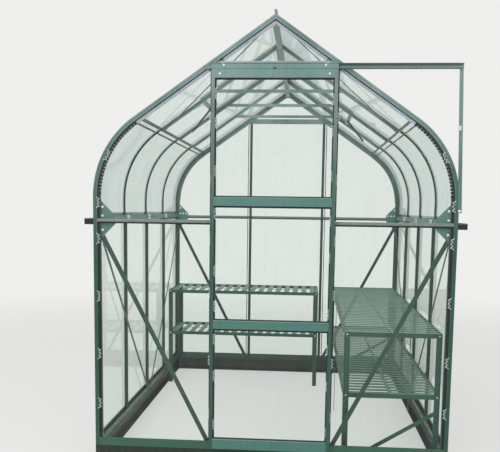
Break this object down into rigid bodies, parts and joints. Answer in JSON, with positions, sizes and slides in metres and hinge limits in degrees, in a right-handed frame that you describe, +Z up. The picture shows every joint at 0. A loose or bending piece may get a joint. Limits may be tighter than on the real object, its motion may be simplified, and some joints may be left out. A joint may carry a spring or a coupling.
{
  "type": "glass greenhouse",
  "caption": "Small glass greenhouse with bent eaves, a sliding door on an overhead track, roof vents and slatted staging.",
  "frame": {"origin": "ground level in the middle of the doorway, on the line of the front gable, on the underside of the front plinth", "axes": "+Z up, +X to the right as seen from outside the door, +Y from the front gable towards the back gable"},
  "size_m": [2.038, 2.56, 2.449],
  "materials": {
    "green_aluminium": "green powder coat",
    "green_steel": "green paint",
    "clear_glass": "3 mm horticultural glass",
    "clear_sheet": "bent clear sheet, slightly hazy",
    "dark_plastic": "black moulded plastic",
    "black_strip": "black glazing strip",
    "dark_metal": "dark paint",
    "nylon": "nylon"
  },
  "bodies": {
    "greenhouse": {"side_plinths": "green_steel", "end_plinths": "green_steel", "side_sills": "green_aluminium", "end_sills": "green_aluminium", "front_gable_bar": "green_aluminium", "back_gable_bar": "green_aluminium", "wall_bars": "green_aluminium", "left_curved_bars": "green_aluminium", "right_curved_bars": "green_aluminium", "left_roof_bars": "green_aluminium", "right_roof_bars": "green_aluminium", "ridge_bar": "green_aluminium", "purlins": "green_aluminium", "curved_sheet_rails": "green_aluminium", "eaves_rails": "green_aluminium", "gutters": "green_aluminium", "gutter_end_caps": "dark_plastic", "door_posts": "green_aluminium", "back_posts": "green_aluminium", "front_head_bar": "green_aluminium", "back_head_bar": "green_aluminium", "door_track": "green_aluminium", "track_strut": "green_aluminium", "front_tie_tubes": "dark_plastic", "back_tie_tube": "dark_plastic", "roof_tie_bars": "green_aluminium", "gusset_plates": "green_aluminium", "gable_braces": "green_aluminium", "side_braces": "green_aluminium", "roof_braces": "green_aluminium", "front_gable_glass": "clear_glass", "back_gable_glass": "clear_glass", "left_wall_glass": "clear_glass", "right_wall_glass": "clear_glass", "left_curved_sheets": "clear_sheet", "right_curved_sheets": "clear_sheet", "left_roof_glass": "clear_glass", "right_roof_glass": "clear_glass", "vent_frames": "green_aluminium", "vent_glass": "clear_glass", "vent_slam_bars": "green_aluminium", "vent_stays": "dark_metal", "notched_glazing_strips": "black_strip", "right_bench_frame": "green_aluminium", "right_bench_slats": "green_aluminium", "back_bench_legs": "green_aluminium", "back_bench_long_rails": "green_aluminium", "back_bench_end_rails": "green_aluminium", "back_bench_ledges": "green_aluminium", "back_bench_slats": "green_aluminium"},
    "door": {"door_stiles": "green_aluminium", "door_top_rail": "green_aluminium", "door_middle_rails": "green_aluminium", "door_bottom_rail": "green_aluminium", "door_glass": "clear_glass", "door_rollers": "nylon"}
  },
  "joints": [
    {"name": "door_slide", "type": "slide", "parent": "greenhouse", "child": "door", "axis": [1, 0, 0], "range_m": [0, 0.65]}
  ]
}
